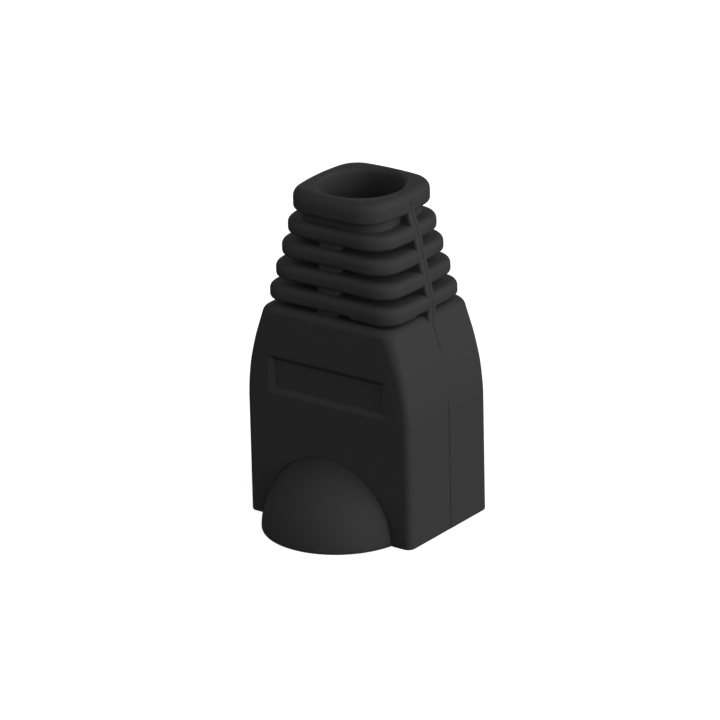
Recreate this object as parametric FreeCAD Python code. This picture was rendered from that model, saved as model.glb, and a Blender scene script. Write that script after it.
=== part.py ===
import FreeCAD, Part
import math
import os

# Strain relief boot for an RJ45 plug: one hollow moulding in soft black PVC.
# The open mouth lies on z = 0 and the cable leaves upwards along Z through a ribbed neck.
# X runs across the boot and the latch bubble stands out of the front, towards -Y.
# All sizes are in millimetres.

# Body that slides over the plug
body_width = 14.0
body_depth = 9.4
body_height = 15.8
shoulder_width = 11.15
taper_height = 4.5
bend_radius = 16.5
body_corner_radius = 0.55
shoulder_edge_radius = 0.55
mouth_edge_bevel = 0.1

# Hollow inside the body
socket_width = 11.8
socket_depth = 8.2
socket_height = 8.6
socket_corner_radius = 0.5
throat_roof = 1.5
throat_width = 8.0
throat_depth = 6.6
throat_step = 0.15

# Bubble that covers the plug's latch, with its radius on the front face
bubble_radius = 5.35
bubble_reach = 4.25
bubble_wall = 1.0

# Shallow blank panel on the front
panel_width = 9.8
panel_height = 2.7
panel_drop = 5.05
panel_sink = 0.3
panel_bevel = 0.3

# Neck of flexible rings round the cable
cable_bore = 6.0
ring_count = 5
ring_pitch = 1.63
ring_thickness = 1.12
shoulder_gap = 0.34
ring_edge_bevel = 0.34
top_ring_height = 1.78
top_ring_rim_radius = 0.75
bore_rim_bevel = 0.3

# Plan of the lowest ring and of the top ring
low_ring_width = 10.9
low_ring_depth = 9.1
low_ring_corner_radius = 1.6
low_ring_hollow = 0.25
low_ring_bow = 0.3
top_ring_width = 7.5
top_ring_depth = 7.9
top_ring_corner_radius = 2.2
top_ring_hollow = -0.35
top_ring_bow = 0.5
top_ring_sink = 0.16

# What joins the rings
spine_width = 0.9
spine_stand = 0.08
spine_head = 0.85
spine_root = 0.1
web_width = 2.0
web_offset = -0.3
web_sink = 0.35
collar_sink = 0.42
collar_hollow = 0.1
pocket_width = 1.2
pocket_wall = 0.5
corner_pad_height = 0.1
corner_pad_sink = 0.25
corner_pad_start = 1.9
corner_pad_end = 1.7

# Fine line where the two mould halves met
parting_offset = 0.15
parting_width = 0.1
parting_sink = 0.06

# Worked out from the sizes above
half_width = body_width / 2
bend_height = body_height - taper_height
panel_centre_height = body_height - panel_drop
half_depth = body_depth / 2
bore_radius = cable_bore / 2
ring_gap = ring_pitch - ring_thickness
first_ring_base = body_height + shoulder_gap
top_ring_base = first_ring_base + (ring_count - 1) * ring_pitch
total_height = top_ring_base + top_ring_height
low_middle = first_ring_base + ring_thickness / 2
upper_middle = low_middle + (ring_count - 2) * ring_pitch
top_middle = top_ring_base + ring_thickness / 2
throat_top = body_height - throat_roof
overrun = 1.0


def point(x, y, z):
    return FreeCAD.Vector(x, y, z)


def box(x0, x1, y0, y1, z0, z1):
    return Part.makeBox(x1 - x0, y1 - y0, z1 - z0, point(x0, y0, z0))


def along_neck(low, top, z):
    """A neck size at height z, running evenly from the lowest ring to the top ring."""
    share = (z - low_middle) / (top_middle - low_middle)
    return low + (top - low) * share


def edges_at(shape, z):
    """The edges that lie wholly at height z."""
    found = []
    for edge in shape.Edges:
        bounds = edge.BoundBox
        if abs(bounds.ZMin - z) < 0.001 and abs(bounds.ZMax - z) < 0.001:
            found.append(edge)
    return found


def side_profile(sink):
    """Outline of the body seen from the front, moved in by sink, as a flat face at y = 0."""
    foot = half_width - sink
    shoulder = shoulder_width / 2 - sink
    lean = math.atan2(foot - shoulder, body_height - bend_height)
    reach = bend_radius * math.tan(lean / 2)
    low_bend = bend_height - reach
    high_bend_x = foot - reach * math.sin(lean)
    high_bend_z = bend_height + reach * math.cos(lean)
    centre_x = foot - bend_radius
    middle_x = centre_x + bend_radius * math.cos(lean / 2)
    middle_z = low_bend + bend_radius * math.sin(lean / 2)
    edges = [Part.LineSegment(point(-foot, 0, 0), point(foot, 0, 0))]
    edges.append(Part.LineSegment(point(foot, 0, 0), point(foot, 0, low_bend)))
    edges.append(Part.Arc(point(foot, 0, low_bend), point(middle_x, 0, middle_z),
                          point(high_bend_x, 0, high_bend_z)))
    edges.append(Part.LineSegment(point(high_bend_x, 0, high_bend_z), point(shoulder, 0, body_height)))
    edges.append(Part.LineSegment(point(shoulder, 0, body_height), point(-shoulder, 0, body_height)))
    edges.append(Part.LineSegment(point(-shoulder, 0, body_height), point(-high_bend_x, 0, high_bend_z)))
    edges.append(Part.Arc(point(-high_bend_x, 0, high_bend_z), point(-middle_x, 0, middle_z),
                          point(-foot, 0, low_bend)))
    edges.append(Part.LineSegment(point(-foot, 0, low_bend), point(-foot, 0, 0)))
    return Part.Face(Part.Wire([edge.toShape() for edge in edges]))


def body_block():
    """The outer form of the body: straight below, drawn in to the shoulder above the bend."""
    face = side_profile(0)
    face.translate(point(0, -half_depth, 0))
    block = face.extrude(point(0, body_depth, 0))
    corners = []
    for edge in block.Edges:
        bounds = edge.BoundBox
        flat = bounds.YLength < 0.001
        if flat and bounds.ZLength > 0.01:
            corners.append(edge)
    block = block.makeFillet(body_corner_radius, corners)
    block = block.makeFillet(shoulder_edge_radius, edges_at(block, body_height))
    return block.makeChamfer(mouth_edge_bevel, edges_at(block, 0))


def rounded_rectangle(width, depth, radius, z):
    """A flat rectangle wire with rounded corners at height z, centred on the Z axis."""
    x = width / 2
    y = depth / 2
    bulge = radius * (1 - math.sqrt(0.5))
    lines = [
        (point(x - radius, -y, z), point(x - bulge, -y + bulge, z), point(x, -y + radius, z)),
        (point(x, y - radius, z), point(x - bulge, y - bulge, z), point(x - radius, y, z)),
        (point(-x + radius, y, z), point(-x + bulge, y - bulge, z), point(-x, y - radius, z)),
        (point(-x, -y + radius, z), point(-x + bulge, -y + bulge, z), point(-x + radius, -y, z)),
    ]
    edges = []
    for index, (start, middle, end) in enumerate(lines):
        edges.append(Part.Arc(start, middle, end).toShape())
        following = lines[(index + 1) % len(lines)][0]
        edges.append(Part.LineSegment(end, following).toShape())
    return Part.Wire(edges)


def rectangle(width, depth, z):
    """A flat rectangle wire at height z, centred on the Z axis."""
    x = width / 2
    y = depth / 2
    corners = [point(-x, -y, z), point(x, -y, z), point(x, y, z), point(-x, y, z)]
    return Part.makePolygon(corners + corners[:1])


def bubble_ball(wall):
    """The ball whose cap stands out of the front, made smaller by the wall."""
    radius = (bubble_radius ** 2 + bubble_reach ** 2) / (2 * bubble_reach)
    centre_y = radius - bubble_reach - half_depth
    return Part.makeSphere(radius - wall, point(0, centre_y, 0))


def latch_bubble():
    """The cap of a ball, standing out of the front and cut off at the mouth."""
    front = -half_depth - bubble_reach - overrun
    inner = -socket_depth / 2
    side = bubble_radius + overrun
    return bubble_ball(0).common(box(-side, side, front, inner, 0, side))


def bubble_hollow():
    """The room inside the bubble, open to the mouth and to the plug."""
    ball = bubble_ball(bubble_wall)
    side = bubble_radius + overrun
    front = -half_depth - bubble_reach
    return ball.common(box(-side, side, front, 0, -overrun, side))


def plug_hollow():
    """The socket for the plug and the throat that narrows towards the cable bore."""
    foot = rounded_rectangle(socket_width, socket_depth, socket_corner_radius, -overrun)
    socket = Part.Face(foot).extrude(point(0, 0, socket_height + overrun))
    wide = rectangle(socket_width - 2 * throat_step, socket_depth - 2 * throat_step, socket_height)
    narrow = rectangle(throat_width, throat_depth, throat_top)
    throat = Part.makeLoft([wide, narrow], True, True)
    return socket.fuse(throat)


def panel_cut():
    """The blank panel's recess: a flat floor with bevelled sides."""
    floor_y = -half_depth + panel_sink
    start_y = -half_depth - overrun
    spread = panel_bevel * overrun / panel_sink
    wires = []
    for y, grow in ((floor_y, -panel_bevel), (start_y, spread)):
        x = panel_width / 2 + grow
        low = panel_centre_height - panel_height / 2 - grow
        high = panel_centre_height + panel_height / 2 + grow
        corners = [point(-x, y, low), point(x, y, low), point(x, y, high), point(-x, y, high)]
        wires.append(Part.makePolygon(corners + corners[:1]))
    return Part.makeLoft(wires, True, True)


def circle_meeting(first_x, first_radius, second_y, second_radius):
    """Where a circle centred on the X axis meets one centred on the Y axis, in the front right quarter."""
    apart = math.hypot(first_x, second_y)
    along = (first_radius ** 2 - second_radius ** 2 + apart ** 2) / (2 * apart)
    aside = math.sqrt(first_radius ** 2 - along ** 2)
    away_x = -first_x / apart
    away_y = second_y / apart
    meetings = []
    for turn in (-1, 1):
        x = first_x + along * away_x - turn * aside * away_y
        y = along * away_y + turn * aside * away_x
        meetings.append((x, y))
    return max(meetings, key=lambda meeting: meeting[0] - meeting[1])


def toward(centre, target, distance):
    """The point that lies the given distance from centre, on the line through target."""
    run_x = target[0] - centre[0]
    run_y = target[1] - centre[1]
    share = distance / math.hypot(run_x, run_y)
    return (centre[0] + run_x * share, centre[1] + run_y * share)


def ring_plan(x, y, side_bow, hollow, radius, z):
    """A rounded rectangle whose sides bow out and whose front and back are hollow, in tangent arcs.

    x and y are the half sizes at the corners, before the corners are rounded.
    """
    side_radius = (y * y + side_bow * side_bow) / (2 * side_bow)
    side_x = x + side_bow - side_radius
    front_radius = (x * x + hollow * hollow) / (2 * abs(hollow))
    bend = 1 if hollow > 0 else -1
    front_y = -(y - hollow) - bend * front_radius
    corner = circle_meeting(side_x, side_radius - radius, front_y, front_radius + bend * radius)
    side_point = toward((side_x, 0), corner, side_radius)
    front_point = toward((0, front_y), corner, front_radius)
    middle = toward((0, 0), corner, math.hypot(*corner) + radius)
    edges = []
    for turn in (1, -1):
        front = [(-turn * front_point[0], turn * front_point[1]), (0, -turn * (y - hollow)),
                 (turn * front_point[0], turn * front_point[1])]
        first = [front[2], (turn * middle[0], turn * middle[1]), (turn * side_point[0], turn * side_point[1])]
        side = [first[2], (turn * (x + side_bow), 0), (turn * side_point[0], -turn * side_point[1])]
        second = [side[2], (turn * middle[0], -turn * middle[1]), (turn * front_point[0], -turn * front_point[1])]
        for points in (front, first, side, second):
            edges.append(Part.Arc(*[point(px, py, z) for px, py in points]).toShape())
    return Part.Wire(edges)


def ring_plate(middle, base, height, sink, hollow):
    """A plate with the ring's plan for the height called middle, moved in by sink."""
    x = along_neck(low_ring_width, top_ring_width, middle) / 2 - sink
    y = along_neck(low_ring_depth, top_ring_depth, middle) / 2 - sink
    radius = along_neck(low_ring_corner_radius, top_ring_corner_radius, middle) - sink
    bow = along_neck(low_ring_bow, top_ring_bow, middle)
    plan = ring_plan(x, y, bow, hollow, radius, base)
    return Part.Face(plan).extrude(point(0, 0, height))


def ring(number):
    """One ring, counted from the shoulder, with softly rounded edges."""
    base = first_ring_base + number * ring_pitch
    middle = base + ring_thickness / 2
    if number < ring_count - 1:
        plate = ring_plate(middle, base, ring_thickness, 0, low_ring_hollow)
        return plate.makeChamfer(ring_edge_bevel, edges_at(plate, base) + edges_at(plate, base + ring_thickness))
    plate = ring_plate(middle, base, top_ring_height, top_ring_sink, top_ring_hollow)
    plate = plate.makeFillet(top_ring_rim_radius, edges_at(plate, base + top_ring_height))
    return plate.makeChamfer(ring_edge_bevel, edges_at(plate, base))


def spine_profile(grow):
    """The outline of both spines seen from the front, moved out by grow, as a flat face at y = 0.

    It runs straight up out of the leaning sides of the body and then along the rings.
    """
    low_reach = low_ring_width / 2 + low_ring_bow + spine_stand
    upper_ring = along_neck(low_ring_width / 2 + low_ring_bow, top_ring_width / 2 + top_ring_bow, upper_middle)
    upper_reach = upper_ring + spine_stand
    top_reach = top_ring_width / 2 + top_ring_bow - top_ring_sink + spine_stand
    slope = taper_height / (half_width - shoulder_width / 2)
    foot = body_height - (low_reach - shoulder_width / 2) * slope - spine_root
    right = [
        (low_reach, foot),
        (low_reach, low_middle),
        (upper_reach, upper_middle),
        (top_reach, top_ring_base + ring_edge_bevel),
        (top_reach, top_ring_base + spine_head),
    ]
    corners = []
    for side, line in ((1, right), (-1, right[::-1])):
        for reach, z in line:
            corners.append(point(side * (reach + grow), 0, z))
    return Part.Face(Part.makePolygon(corners + corners[:1]))


def spines():
    """The two side spines, a little proud of the rings, that carry the parting line."""
    face = spine_profile(0)
    face.translate(point(0, parting_offset - spine_width / 2, 0))
    return face.extrude(point(0, spine_width, 0))


def webs():
    """The narrow webs near the middle of the front and back, set back behind the rings' edges."""
    foot = body_height - shoulder_edge_radius
    head = top_ring_base + ring_edge_bevel
    reaches = []
    for z in (foot, head):
        depth = along_neck(low_ring_depth, top_ring_depth, z) / 2
        reaches.append(depth - low_ring_hollow - web_sink)
    start_x = web_offset - web_width / 2
    corners = [
        point(start_x, -reaches[0], foot),
        point(start_x, reaches[0], foot),
        point(start_x, reaches[1], head),
        point(start_x, -reaches[1], head),
    ]
    face = Part.Face(Part.makePolygon(corners + corners[:1]))
    return face.extrude(point(web_width, 0, 0))


def collar():
    """The closed wall under the top ring, with a pocket on each side of each spine."""
    base = top_ring_base - ring_gap
    height = ring_gap + 2 * ring_edge_bevel
    wall = ring_plate(top_middle, base - ring_edge_bevel, height, collar_sink, collar_hollow)
    inner = bore_radius + pocket_wall
    outer = low_ring_width
    for side in (-1, 1):
        for facing in (-1, 1):
            start = parting_offset + facing * spine_width / 2
            end = start + facing * pocket_width
            x0, x1 = sorted((side * inner, side * outer))
            y0, y1 = sorted((start, end))
            wall = wall.cut(box(x0, x1, y0, y1, base, top_ring_base))
    return wall


def corner_pads():
    """Thicker corners under the lowest ring, at the front right and the back left."""
    plate = ring_plate(low_middle, first_ring_base - corner_pad_height,
                       corner_pad_height + ring_edge_bevel, corner_pad_sink, low_ring_hollow)
    reach = low_ring_width
    low = first_ring_base - corner_pad_height
    high = first_ring_base + ring_edge_bevel
    right = plate.common(box(corner_pad_start, reach, -reach, -corner_pad_end, low, high))
    left = plate.common(box(-reach, -corner_pad_start, corner_pad_end, reach, low, high))
    return [right, left]


def cable_passage():
    """The round way for the cable, with a bevelled rim at its top."""
    start = throat_top - overrun
    bore = Part.makeCylinder(bore_radius, total_height + overrun - start, point(0, 0, start))
    rim = Part.makeCone(bore_radius, bore_radius + bore_rim_bevel + overrun, bore_rim_bevel + overrun,
                        point(0, 0, total_height - bore_rim_bevel))
    return bore.fuse(rim)


def parting_groove():
    """The fine line down the middle of both sides of the body and of the spines."""
    start_y = parting_offset - parting_width / 2
    head = top_ring_base + spine_head
    groove = box(-body_width, body_width, start_y, start_y + parting_width, 0, head)
    for inner in (side_profile(parting_sink), spine_profile(-parting_sink)):
        inner.translate(point(0, start_y, 0))
        groove = groove.cut(inner.extrude(point(0, parting_width, 0)))
    return groove


def build_boot():
    boot = body_block()
    pieces = [latch_bubble()]
    for number in range(ring_count):
        pieces.append(ring(number))
    pieces += [spines(), webs(), collar()]
    pieces += corner_pads()
    for piece in pieces:
        boot = boot.fuse(piece)
    cuts = [plug_hollow(), bubble_hollow(), cable_passage(), panel_cut(), parting_groove()]
    for cut in cuts:
        boot = boot.cut(cut)
    return boot.removeSplitter()


boot = build_boot()
if len(boot.Solids) != 1 or not boot.isValid():
    raise RuntimeError("the boot is not one valid solid")
os.makedirs("parts", exist_ok=True)
boot.Solids[0].exportStep("parts/boot.step")
bounds = boot.BoundBox
print("size", round(bounds.XLength, 3), round(bounds.YLength, 3), round(bounds.ZLength, 3))
print("volume", round(boot.Volume, 2))
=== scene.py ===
import math
import bmesh
import bpy
from mathutils import Matrix, Vector


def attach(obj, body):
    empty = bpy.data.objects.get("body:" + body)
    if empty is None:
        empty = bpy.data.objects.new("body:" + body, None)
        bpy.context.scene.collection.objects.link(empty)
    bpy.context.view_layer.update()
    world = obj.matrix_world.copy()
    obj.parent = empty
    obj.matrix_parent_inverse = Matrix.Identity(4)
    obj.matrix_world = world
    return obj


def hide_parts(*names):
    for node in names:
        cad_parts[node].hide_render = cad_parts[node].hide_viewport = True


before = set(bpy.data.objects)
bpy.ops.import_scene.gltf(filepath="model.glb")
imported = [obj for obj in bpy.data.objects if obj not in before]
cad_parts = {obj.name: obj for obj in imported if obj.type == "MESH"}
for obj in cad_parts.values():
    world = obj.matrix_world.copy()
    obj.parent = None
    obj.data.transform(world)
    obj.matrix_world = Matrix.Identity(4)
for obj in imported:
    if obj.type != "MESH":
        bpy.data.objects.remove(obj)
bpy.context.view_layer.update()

bpy.ops.object.select_all(action="DESELECT")


# Body: the hollow lower part that slides over the plug, moulded in soft PVC.
# It is straight below and drawn in at both sides above a bend, and its corners grow rounder there.
# It is modelled at one unit for each millimetre, and comes to metres when all is joined.
body_width = 14.0
body_depth = 9.4
body_height = 15.8
shoulder_width = 11.15
bend_height = 11.3
bend_tangent = 2.62
bend_steps = 14
edge_radius = 0.55
edge_steps = 6
corner_growth = 0.4
half_width = body_width / 2
half_depth = body_depth / 2
overrun = 1.0  # how far a form runs on past the face where it is trimmed
tolerance = 0.001  # sizes closer than this count as the same
margin = 0.01  # how far off the corners of wanted edges may lie


def named(name):
    """Names the primitive that was just added and puts its place and size in its mesh."""
    piece = bpy.context.object
    piece.name = name
    piece.data.name = name
    bpy.ops.object.transform_apply(location=True, rotation=True, scale=True)
    return piece


def select_only(piece):
    """Selects the piece, and nothing else, and makes it the active one."""
    bpy.ops.object.select_all(action="DESELECT")
    piece.select_set(True)
    bpy.context.view_layer.objects.active = piece


def everything(corner):
    """The test that every corner passes."""
    return True


def near(value, target):
    """Whether two sizes are the same but for rounding."""
    return abs(value - target) < tolerance


def pick(piece, kind, *tests):
    """Opens the piece in edit mode and selects each part whose corners all pass one of the tests."""
    select_only(piece)
    bpy.ops.object.mode_set(mode="EDIT")
    bpy.ops.mesh.select_mode(type=kind)
    bpy.ops.mesh.select_all(action="DESELECT")
    shape = bmesh.from_edit_mesh(piece.data)
    parts = {"VERT": shape.verts, "EDGE": shape.edges, "FACE": shape.faces}[kind]
    for part in parts:
        corners = [part.co] if kind == "VERT" else [corner.co for corner in part.verts]
        part.select_set(any(all(test(corner) for corner in corners) for test in tests))
    shape.select_flush_mode()
    bmesh.update_edit_mesh(piece.data)


def close_edit():
    """Leaves edit mode."""
    bpy.ops.object.mode_set(mode="OBJECT")


def round_edges(piece, radius, steps, *tests):
    """Rounds the edges whose two ends both pass one of the tests."""
    pick(piece, "EDGE", *tests)
    bpy.ops.mesh.bevel(offset=radius, offset_type="OFFSET", segments=steps, profile=0.5, affect="EDGES")
    close_edit()


def scale_end(piece, test, scale, centre):
    """Scales the end of the piece whose corners pass the test, about centre."""
    pick(piece, "VERT", test)
    bpy.ops.transform.resize(value=scale, center_override=centre)
    close_edit()


def block(name, low, high):
    """A closed box between two corners."""
    middle = [(a + b) / 2 for a, b in zip(low, high)]
    size = [b - a for a, b in zip(low, high)]
    bpy.ops.mesh.primitive_cube_add(size=1, location=middle, scale=size)
    return named(name)


body = block("body", (-half_width, -half_depth, -overrun), (half_width, half_depth, body_height))
pick(body, "FACE", everything)
bpy.ops.mesh.bisect(plane_co=(0, 0, bend_height), plane_no=(0, 0, 1))
close_edit()
scale_end(body, lambda c: near(c.z, body_height), (shoulder_width / body_width, 1, 1), (0, 0, body_height))
for side in (-1, 1):
    pick(body, "EDGE", lambda c: near(c.z, bend_height) and near(c.y, side * half_depth))
    bpy.ops.mesh.dissolve_edges(use_verts=False)
    close_edit()
    round_edges(body, bend_tangent, bend_steps,
                lambda c: near(c.z, bend_height) and near(c.x, side * half_width))


def upright(side, facing):
    """The test for an upright edge of the body, at the left or right and the front or back."""
    return lambda c: c.x * side > shoulder_width / 2 - margin and near(c.y, facing * half_depth)


uprights = [upright(side, facing) for side in (-1, 1) for facing in (-1, 1)]
round_edges(body, edge_radius, edge_steps, *uprights)

lean = math.atan((half_width - shoulder_width / 2) / (body_height - bend_height))
bend_radius = bend_tangent / math.tan(lean / 2)
bend_start = bend_height - bend_tangent
bend_end = bend_height + bend_tangent * math.cos(lean)


def side_reach(z):
    """How far the side stands from the middle at height z: straight, then in an arc, then leaning."""
    if z < bend_start:
        return half_width
    if z < bend_end:
        return half_width - bend_radius + math.sqrt(bend_radius ** 2 - (z - bend_start) ** 2)
    return shoulder_width / 2 + (body_height - z) * math.tan(lean)


for vertex in body.data.vertices:
    x, y, z = vertex.co
    if z > bend_height and abs(y) > half_depth - edge_radius - margin:
        grown = 1 + corner_growth / edge_radius * (z - bend_height) / (body_height - bend_height)
        reach = side_reach(z)
        vertex.co.x = math.copysign(reach - (reach - abs(x)) * grown, x)
        vertex.co.y = math.copysign(half_depth - (half_depth - abs(y)) * grown, y)
round_edges(body, edge_radius, edge_steps, lambda c: near(c.z, body_height))


# Latch bubble: the cap of a ball on the front, which gives the plug's latch room to move.
# It is part of the same moulding and meets the front face in a crisp crease.
# The ball's centre lies a little behind the front face.
bubble_on_face = 5.35
bubble_reach = 4.25
bubble_wall = 1.0
bubble_inset = 0.1
bubble_steps = 128
crease_width = 0.07
crease_sink = 0.06
socket_depth = 8.2
bubble_radius = (bubble_on_face ** 2 + bubble_reach ** 2) / (2 * bubble_reach)
bubble_centre = bubble_radius - bubble_reach - half_depth


def ball(name, radius, steps):
    """A closed ball round the bubble's centre."""
    bpy.ops.mesh.primitive_uv_sphere_add(segments=steps, ring_count=steps // 2, radius=radius,
                                         location=(0, bubble_centre, 0))
    return named(name)


def cut_away(piece, place, direction):
    """Cuts the piece at a plane, closes it there, and removes what lies beyond in that direction."""
    pick(piece, "FACE", everything)
    bpy.ops.mesh.bisect(plane_co=place, plane_no=direction, use_fill=True, clear_outer=True)
    close_edit()


bubble = ball("bubble", bubble_radius, bubble_steps)
cut_away(bubble, (0, -socket_depth / 2 - bubble_inset, 0), (0, 1, 0))
cut_away(bubble, (0, 0, -overrun), (0, 0, -1))
crease = ball("crease", bubble_radius + crease_width, bubble_steps)
cut_away(crease, (0, -half_depth + crease_sink, 0), (0, 1, 0))


# Neck rings: five soft collars round the cable that let the neck bend.
# Each is a rounded rectangle with bowed sides, and the top one is thicker with a rounder rim.
# They are moulded with the body and grow smaller towards the top.
ring_count = 5
ring_pitch = 1.63
ring_thickness = 1.14
ring_edge = 0.5
ring_edge_steps = 6
ring_under_edge = 0.28
ring_under_steps = 5
shoulder_gap = 0.34
top_ring_height = 1.78
top_ring_rim = 0.7
top_ring_rim_steps = 9
top_ring_edge = 0.3
top_ring_edge_steps = 5
top_ring_sink = 0.16
top_ring_lift = 0.2
low_ring = {"width": 10.9, "depth": 9.1, "corner": 1.6, "bow": 0.3}
top_ring = {"width": 7.5, "depth": 7.9, "corner": 2.2, "bow": 0.5}
front_hollow = 0.25
top_front_bow = 0.35
arc_steps = 12
first_ring_base = body_height + shoulder_gap
top_ring_base = first_ring_base + (ring_count - 1) * ring_pitch
top_ring_under = top_ring_base + top_ring_lift
total_height = top_ring_base + top_ring_height
low_middle = first_ring_base + ring_thickness / 2
upper_middle = low_middle + (ring_count - 2) * ring_pitch
top_middle = top_ring_base + ring_thickness / 2


def ring_size(name, z):
    """A size of the rings at height z, running evenly from the lowest ring to the top one."""
    share = (z - low_middle) / (top_middle - low_middle)
    return low_ring[name] + (top_ring[name] - low_ring[name]) * share


def arc_points(centre, start, end, steps):
    """Points along the arc round centre from start to just before end."""
    first = math.atan2(start[1] - centre[1], start[0] - centre[0])
    swing = math.atan2(end[1] - centre[1], end[0] - centre[0]) - first
    swing = (swing + math.pi) % (2 * math.pi) - math.pi
    radius = math.hypot(start[0] - centre[0], start[1] - centre[1])
    angles = [first + swing * step / steps for step in range(steps)]
    return [(centre[0] + radius * math.cos(a), centre[1] + radius * math.sin(a)) for a in angles]


def reached(centre, target, distance):
    """The point at that distance from centre, towards target."""
    run = Vector(target) - Vector(centre)
    return tuple(Vector(centre) + run.normalized() * distance)


def ring_outline(x, y, bow, hollow, corner):
    """The outline of a ring from above, in arcs that run smoothly into each other, anticlockwise.

    The sides bow out, and the front and back are hollow, or bow out where hollow is negative.
    A corner's centre is where two circles cross, each one corner radius inside its arc.
    """
    side_radius = (y * y + bow * bow) / (2 * bow)
    side_centre = (x + bow - side_radius, 0)
    bend = 1 if hollow > 0 else -1
    front_radius = (x * x + hollow * hollow) / (2 * abs(hollow))
    front_centre = (0, -(y - hollow) - bend * front_radius)
    from_side = side_radius - corner
    from_front = front_radius + bend * corner
    apart = math.hypot(side_centre[0], front_centre[1])
    along = (from_side ** 2 - from_front ** 2 + apart ** 2) / (2 * apart)
    aside = math.sqrt(from_side ** 2 - along ** 2)
    away = (-side_centre[0] / apart, front_centre[1] / apart)
    crossings = []
    for way in (-1, 1):
        crossings.append((side_centre[0] + along * away[0] - way * aside * away[1],
                          along * away[1] + way * aside * away[0]))
    centre = max(crossings, key=lambda c: c[0] - c[1])
    front = reached(front_centre, centre, front_radius)
    side = reached(side_centre, centre, side_radius)
    half = arc_points(front_centre, (0, -(y - hollow)), front, arc_steps)
    half += arc_points(centre, front, side, arc_steps)
    half += arc_points(side_centre, side, (side[0], -side[1]), 2 * arc_steps)
    half += arc_points((centre[0], -centre[1]), (side[0], -side[1]), (front[0], -front[1]), arc_steps)
    half += arc_points((0, -front_centre[1]), (front[0], -front[1]), (0, y - hollow), arc_steps)
    return half + [(-a, -b) for a, b in half]


def slab(name, outline, place, run):
    """A flat plate: place sets each point of the outline in space, and run draws the plate out."""
    bpy.ops.mesh.primitive_circle_add(vertices=len(outline), fill_type="NGON", location=(0, 0, 0))
    plate = named(name)
    for vertex, spot in zip(plate.data.vertices, outline):
        vertex.co = place(*spot)
    pick(plate, "FACE", everything)
    bpy.ops.mesh.extrude_region_move(TRANSFORM_OT_translate={"value": run})
    bpy.ops.mesh.select_all(action="SELECT")
    bpy.ops.mesh.normals_make_consistent(inside=False)
    close_edit()
    return plate


def ring_plate(name, middle, base, height, sink, hollow):
    """A flat plate with the ring outline of the height middle, moved in by sink."""
    outline = ring_outline(ring_size("width", middle) / 2 - sink, ring_size("depth", middle) / 2 - sink,
                           ring_size("bow", middle), hollow, ring_size("corner", middle) - sink)
    return slab(name, outline, lambda x, y: (x, y, base), (0, 0, height))


rings = []
for number in range(ring_count - 1):
    base = first_ring_base + number * ring_pitch
    ring = ring_plate("ring", base + ring_thickness / 2, base, ring_thickness, 0, front_hollow)
    round_edges(ring, ring_under_edge, ring_under_steps, lambda c: near(c.z, base))
    round_edges(ring, ring_edge, ring_edge_steps, lambda c: near(c.z, base + ring_thickness))
    rings.append(ring)
thick_ring = ring_plate("top_ring", top_middle, top_ring_under, total_height - top_ring_under, top_ring_sink,
                        -top_front_bow)
round_edges(thick_ring, top_ring_rim, top_ring_rim_steps, lambda c: near(c.z, total_height))
round_edges(thick_ring, top_ring_edge, top_ring_edge_steps, lambda c: near(c.z, top_ring_under))


# Joins of the neck: side spines, front and back webs, the collar under the top ring, and the corner pads.
# They are moulded with the rings and leave through slots between them, so the neck can bend.
# The spines stand on the line where the two halves of the mould met.
spine_width = 0.9
spine_stand = 0.03
spine_head = 1.05
spine_edge = 0.2
spine_root = 0.6
parting_offset = 0.15
web_width = 1.9
web_middle = -0.45
web_sink = 0.5
web_edge = 0.4
collar_sink = 0.6
collar_hollow = 0.05
front_pocket = 1.0
back_pocket = 2.2
pocket_wall = 0.5
pad_height = 0.1
pad_sink = 0.015
pad_edge = 0.22
pad_start = 1.9
pad_end = 1.7
join_steps = 4
cable_bore = 6.0

low_reach = (low_ring["width"] / 2 + low_ring["bow"]) + spine_stand
upper_reach = ring_size("width", upper_middle) / 2 + ring_size("bow", upper_middle) + spine_stand
top_reach = top_ring["width"] / 2 + top_ring["bow"] - top_ring_sink + spine_stand
side_slope = (body_height - bend_height) / (half_width - shoulder_width / 2)
spine_meets_side = body_height - (low_reach - shoulder_width / 2) * side_slope
spine_front = parting_offset - spine_width / 2
spine_back = parting_offset + spine_width / 2
spine_line = [(low_reach, spine_meets_side - spine_root), (low_reach, low_middle),
              (upper_reach, upper_middle), (top_reach, top_ring_base + ring_edge),
              (top_reach - 2 * spine_stand, top_ring_base + spine_head)]
both_spines = spine_line + [(-x, z) for x, z in reversed(spine_line)]
spines = slab("spines", both_spines, lambda x, z: (x, spine_front, z), (0, spine_width, 0))
round_edges(spines, spine_edge, join_steps, everything)

web_line = []
for height in (body_height - edge_radius, top_ring_base + ring_edge):
    web_line.append((ring_size("depth", height) / 2 - front_hollow - web_sink, height))
both_webs = web_line + [(-y, z) for y, z in reversed(web_line)]
webs = slab("webs", both_webs, lambda y, z: (web_middle - web_width / 2, y, z), (web_width, 0, 0))
for side in (-1, 1):
    for facing in (-1, 1):
        round_edges(webs, web_edge, join_steps,
                    lambda c: near(c.x, web_middle + side * web_width / 2) and c.y * facing > 0)

collar_low = top_ring_base - ring_pitch + ring_thickness / 2
collar = ring_plate("collar", top_middle, collar_low, top_ring_base + ring_edge - collar_low, collar_sink,
                    collar_hollow)
pocket_low = top_ring_base - ring_pitch + ring_thickness
pockets = []
for side in (-1, 1):
    left, right = sorted((side * (cable_bore / 2 + pocket_wall), side * body_width))
    for start, end in ((spine_front - front_pocket, spine_front), (spine_back, spine_back + back_pocket)):
        pockets.append(block("pocket", (left, start, pocket_low), (right, end, top_ring_under)))

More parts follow.
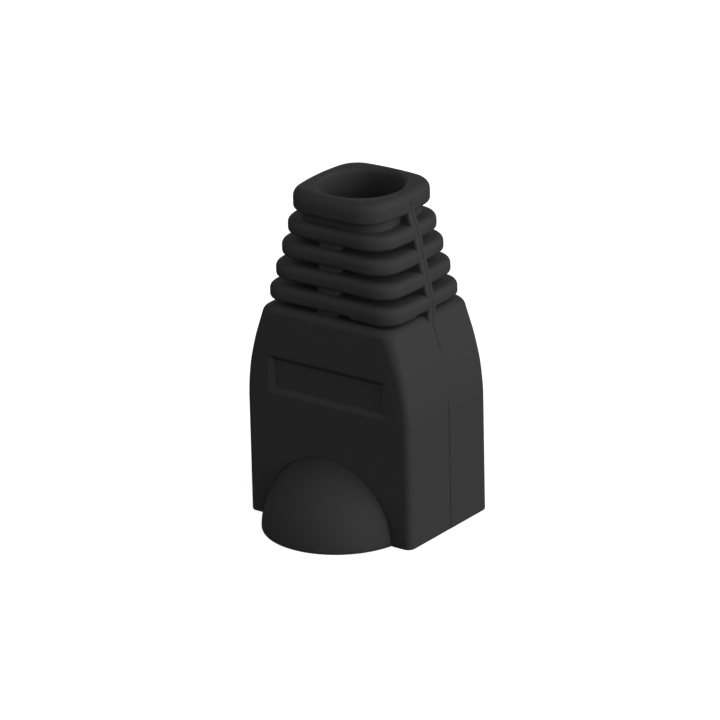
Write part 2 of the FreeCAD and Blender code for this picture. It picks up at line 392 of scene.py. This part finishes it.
pad_base = first_ring_base - pad_height
pads = []
for side in (1, -1):
    pad = ring_plate("pad", low_middle, pad_base, pad_height + ring_thickness / 2, pad_sink, front_hollow)
    cut_away(pad, (side * pad_start, 0, 0), (-side, 0, 0))
    cut_away(pad, (0, -side * pad_end, 0), (0, side, 0))
    round_edges(pad, pad_edge, join_steps, lambda c: near(c.z, pad_base))
    pads.append(pad)


# Hollow: the socket for the plug, the throat, the room in the bubble and the bore for the cable.
# The blank panel on the front is a shallow recess with bevelled sides.
# A fine line runs down both sides where the mould halves met.
socket_width = 11.8
socket_height = 8.6
socket_edge = 0.5
throat_step = 0.15
throat_overlap = 0.2
throat_width = 8.0
throat_deep = 6.6
shoulder_wall = 1.5
throat_top = body_height - shoulder_wall
room_steps = 96
bore_steps = 128
panel_width = 9.8
panel_height = 2.7
panel_middle = 10.75
panel_sink = 0.3
panel_bevel = 0.3
parting_width = 0.09
parting_sink = 0.035
spine_groove_width = 0.1
spine_groove_sink = 0.03

socket = block("socket", (-socket_width / 2, -socket_depth / 2, -2 * overrun),
               (socket_width / 2, socket_depth / 2, socket_height))
round_edges(socket, socket_edge, edge_steps, everything)
throat_low_width = socket_width - 2 * throat_step
throat_low_deep = socket_depth - 2 * throat_step
throat = block("throat", (-throat_low_width / 2, -throat_low_deep / 2, socket_height - throat_overlap),
               (throat_low_width / 2, throat_low_deep / 2, throat_top))
scale_end(throat, lambda c: near(c.z, throat_top),
          (throat_width / throat_low_width, throat_deep / throat_low_deep, 1), (0, 0, throat_top))
room = ball("room", bubble_radius - bubble_wall, room_steps)
bore_low = throat_top - overrun
bore_high = total_height + overrun
bpy.ops.mesh.primitive_cylinder_add(vertices=bore_steps, radius=cable_bore / 2, depth=bore_high - bore_low,
                                    location=(0, 0, (bore_high + bore_low) / 2))
bore = named("bore")

panel_spread = panel_bevel * overrun / panel_sink
panel_half_width = panel_width / 2 + panel_spread
panel_half_height = panel_height / 2 + panel_spread
panel = block("panel", (-panel_half_width, -half_depth - overrun, panel_middle - panel_half_height),
              (panel_half_width, -half_depth + panel_sink, panel_middle + panel_half_height))
scale_end(panel, lambda c: near(c.y, -half_depth + panel_sink),
          ((panel_width / 2 - panel_bevel) / panel_half_width, 1,
           (panel_height / 2 - panel_bevel) / panel_half_height), (0, 0, panel_middle))

side_line = [(half_width, -overrun)]
for step in range(bend_steps + 1):
    height = bend_start + bend_radius * math.sin(lean * step / bend_steps)
    side_line.append((side_reach(height), height))
side_line.append((low_reach, spine_meets_side))
neck_line = [(low_reach, spine_meets_side)] + spine_line[1:]
grooves = []
for line, width, sink in ((side_line, parting_width, parting_sink),
                          (neck_line, spine_groove_width, spine_groove_sink)):
    strip = [(x - sink, z) for x, z in line] + [(x + overrun, z) for x, z in reversed(line)]
    start = parting_offset - width / 2
    for side in (-1, 1):
        grooves.append(slab("groove", strip, lambda x, z: (side * x, start, z), (0, width, 0)))


# One moulding: all the solid forms are joined, then the hollows are cut out of them.
# The real boot is a single shot of soft PVC, pulled off a core.
# The lower edge is trimmed flat on the plane of the mouth, and the cut edges are softened.
mouth_edge = 0.1
mouth_steps = 2
bore_rim = 0.36
bore_rim_steps = 6
panel_edge = 0.15
panel_steps = 4
merge_distance = 0.0005
sliver_size = 0.0002
smooth_angle = 32
to_metres = 0.001


def combine(piece, others, operation):
    """Joins the others to the piece, or cuts them out of it, and removes them."""
    for other in others:
        bpy.context.view_layer.objects.active = piece
        change = piece.modifiers.new("combine", "BOOLEAN")
        change.operation = operation
        change.object = other
        change.solver = "EXACT"
        bpy.ops.object.modifier_apply(modifier=change.name)
        bpy.data.objects.remove(other)


combine(collar, pockets, "DIFFERENCE")
combine(body, [crease], "DIFFERENCE")
combine(body, [bubble], "UNION")
combine(body, rings + [thick_ring, spines, webs, collar] + pads, "UNION")
trim = block("trim", (-2 * body_width, -2 * body_width, -4 * overrun), (2 * body_width, 2 * body_width, 0))
combine(body, [trim], "DIFFERENCE")
round_edges(body, mouth_edge, mouth_steps, lambda c: near(c.z, 0))
combine(body, [socket, throat, room, bore, panel] + grooves, "DIFFERENCE")
round_edges(body, bore_rim, bore_rim_steps,
            lambda c: near(c.z, total_height) and near(math.hypot(c.x, c.y), cable_bore / 2))
round_edges(body, panel_edge, panel_steps,
            lambda c: near(c.y, -half_depth) and abs(c.x) < panel_width / 2 + margin
            and abs(c.z - panel_middle) < panel_height / 2 + margin)

pick(body, "VERT", everything)
bpy.ops.mesh.remove_doubles(threshold=merge_distance)
bpy.ops.mesh.dissolve_degenerate(threshold=merge_distance)
bpy.ops.mesh.select_mode(type="FACE")
bpy.ops.mesh.select_all(action="SELECT")
bpy.ops.mesh.quads_convert_to_tris()
bpy.ops.mesh.dissolve_degenerate(threshold=sliver_size)
bpy.ops.mesh.select_all(action="DESELECT")
bpy.ops.mesh.select_loose()
bpy.ops.mesh.delete(type="FACE")
close_edit()

boot = body
boot.name = "boot_moulding"
boot.data.name = "boot_moulding"
boot.scale = (to_metres, to_metres, to_metres)
select_only(boot)
bpy.ops.object.transform_apply(location=True, rotation=True, scale=True)
bpy.ops.object.shade_smooth_by_angle(angle=math.radians(smooth_angle))
weight = boot.modifiers.new("even shading", "WEIGHTED_NORMAL")
weight.keep_sharp = True
bpy.ops.object.modifier_apply(modifier=weight.name)


# Material: soft PVC, moulded with a fine spark-eroded finish.
# It is black all through, with a dull sheen and a very fine even grain, so light spreads softly on it.
# Nine grains to the millimetre is about as coarse as such a finish is.
pvc_black = "2f2f30"
pvc_roughness = 0.8
pvc_ior = 1.5
grains_per_mm = 9
grain_layers = 3.0
grain_harshness = 0.6
grain_strength = 0.12
grain_depth = 0.03  # in mm, as the other sizes


def linear(code):
    """An sRGB hex colour as linear light."""
    values = [int(code[i:i + 2], 16) / 255 for i in (0, 2, 4)]
    return [v / 12.92 if v <= 0.04045 else ((v + 0.055) / 1.055) ** 2.4 for v in values] + [1.0]


def add_node(tree, kind, settings, links):
    """Adds a node, sets its properties and sockets, and links its sockets to others' outputs."""
    node = tree.nodes.new(kind)
    for name, value in settings.items():
        if name in node.inputs:
            node.inputs[name].default_value = value
        else:
            setattr(node, name, value)
    for name, source in links.items():
        tree.links.new(source, node.inputs[name])
    return node


pvc = bpy.data.materials.new("moulded matte black PVC")
pvc.use_nodes = True
tree = pvc.node_tree
shader = tree.nodes["Principled BSDF"]
shader.inputs["Base Color"].default_value = linear(pvc_black)
shader.inputs["Roughness"].default_value = pvc_roughness
shader.inputs["IOR"].default_value = pvc_ior
where = add_node(tree, "ShaderNodeTexCoord", {}, {})
grain = add_node(tree, "ShaderNodeTexNoise",
                 {"Scale": grains_per_mm / to_metres, "Detail": grain_layers, "Roughness": grain_harshness},
                 {"Vector": where.outputs["Object"]})
bump = add_node(tree, "ShaderNodeBump", {"Strength": grain_strength, "Distance": grain_depth * to_metres},
                {"Height": grain.outputs["Fac"]})
tree.links.new(bump.outputs["Normal"], shader.inputs["Normal"])
boot.data.materials.clear()
boot.data.materials.append(pvc)
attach(boot, "root")
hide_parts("boot")


# Table: a plain white board that runs on behind the boot and glows, so shadows hardly show on it.
# It shows to the camera but sends no light up to the boot, whose undersides stay dark.
board_white = "e8e8e8"
board_glow = 1.05
board_roughness = 0.9
board_size = 4.0
board_drop = 0.00002

bpy.ops.mesh.primitive_plane_add(size=board_size, location=(0, 0, -board_drop))
table = named("table")
table.visible_diffuse = False
table.visible_glossy = False
board = bpy.data.materials.new("matte white board")
board.use_nodes = True
paint = board.node_tree.nodes["Principled BSDF"]
paint.inputs["Base Color"].default_value = linear(board_white)
paint.inputs["Roughness"].default_value = board_roughness
paint.inputs["Emission Color"].default_value = linear(board_white)
paint.inputs["Emission Strength"].default_value = board_glow
table.data.materials.append(board)


# Light: soft square lamps round the boot, as in a small photo studio, the strongest from the right.
# Each entry gives its azimuth and elevation in degrees and its power in watts.
# The world behind has the board's white, so no horizon shows, and it sends no light to the boot.
lamp_size = 0.55
lamp_distance = 1.0
lamp_aim = Vector((0, 0, 0.012))
lamps = {
    "front right lamp": (45, 10, 2.1),
    "right lamp": (90, 10, 5.2),
    "back right lamp": (135, 10, 2.15),
    "back left lamp": (225, 10, 1.3),
    "front left lamp": (315, 10, 1.3),
    "high front lamp": (0, 45, 0.5),
    "high front right lamp": (60, 45, 0.7),
    "high right lamp": (120, 45, 2.15),
    "high left lamp": (300, 45, 1.05),
}


def outward(azimuth, elevation):
    """The direction from the boot at those angles in radians, where azimuth 0 is the front."""
    return Vector((math.sin(azimuth) * math.cos(elevation), -math.cos(azimuth) * math.cos(elevation),
                   math.sin(elevation)))


for name, (azimuth, elevation, power) in lamps.items():
    light = bpy.data.lights.new(name, "AREA")
    light.size = lamp_size
    light.energy = power
    lamp = bpy.data.objects.new(name, light)
    bpy.context.scene.collection.objects.link(lamp)
    away = outward(math.radians(azimuth), math.radians(elevation))
    lamp.location = away * lamp_distance + lamp_aim
    lamp.rotation_euler = away.to_track_quat("Z", "Y").to_euler()
world = bpy.data.worlds.new("studio")
bpy.context.scene.world = world
world.use_nodes = True
world.node_tree.nodes["Background"].inputs["Color"].default_value = linear(board_white)
world.node_tree.nodes["Background"].inputs["Strength"].default_value = board_glow
world.cycles_visibility.diffuse = False
world.cycles_visibility.glossy = False
bpy.context.scene.view_settings.view_transform = "Standard"


# Camera: at the viewing angle of the photograph, far off with a long lens.
# Its values were fitted to the boot's outline there, in millimetres, degrees and pixels.
# The target is the point of the boot that shows at target_pixel, at that distance from the camera.
view_azimuth = math.radians(36.63)
view_elevation = math.radians(20.90)
view_roll = math.radians(-1.326)
distance = 387.8
focal_pixels = 5563.0
image_size = 720
target = Vector((0, 0, 14.0))
target_pixel = (364.54, 323.42)
sensor_width = 36.0
nearest_seen = 0.01
farthest_seen = 10.0

back = outward(view_azimuth, view_elevation)
level_right = Vector((math.cos(view_azimuth), math.sin(view_azimuth), 0))
level_up = back.cross(level_right)
tilted_right = level_right * math.cos(view_roll) + level_up * math.sin(view_roll)
tilted_up = level_up * math.cos(view_roll) - level_right * math.sin(view_roll)
eye = target + back * distance
middle_ray = (-back * focal_pixels + tilted_right * (image_size / 2 - target_pixel[0])
              - tilted_up * (image_size / 2 - target_pixel[1])).normalized()
camera_right = (tilted_right - middle_ray * tilted_right.dot(middle_ray)).normalized()
camera_up = camera_right.cross(middle_ray)
heading = Matrix((camera_right, camera_up, -middle_ray)).transposed().to_4x4()
camera_data = bpy.data.cameras.new("camera")
camera_data.sensor_width = sensor_width
camera_data.lens = focal_pixels / image_size * sensor_width
camera_data.clip_start = nearest_seen
camera_data.clip_end = farthest_seen
camera = bpy.data.objects.new("camera", camera_data)
bpy.context.scene.collection.objects.link(camera)
camera.matrix_world = Matrix.Translation(eye * to_metres) @ heading
bpy.context.scene.camera = camera
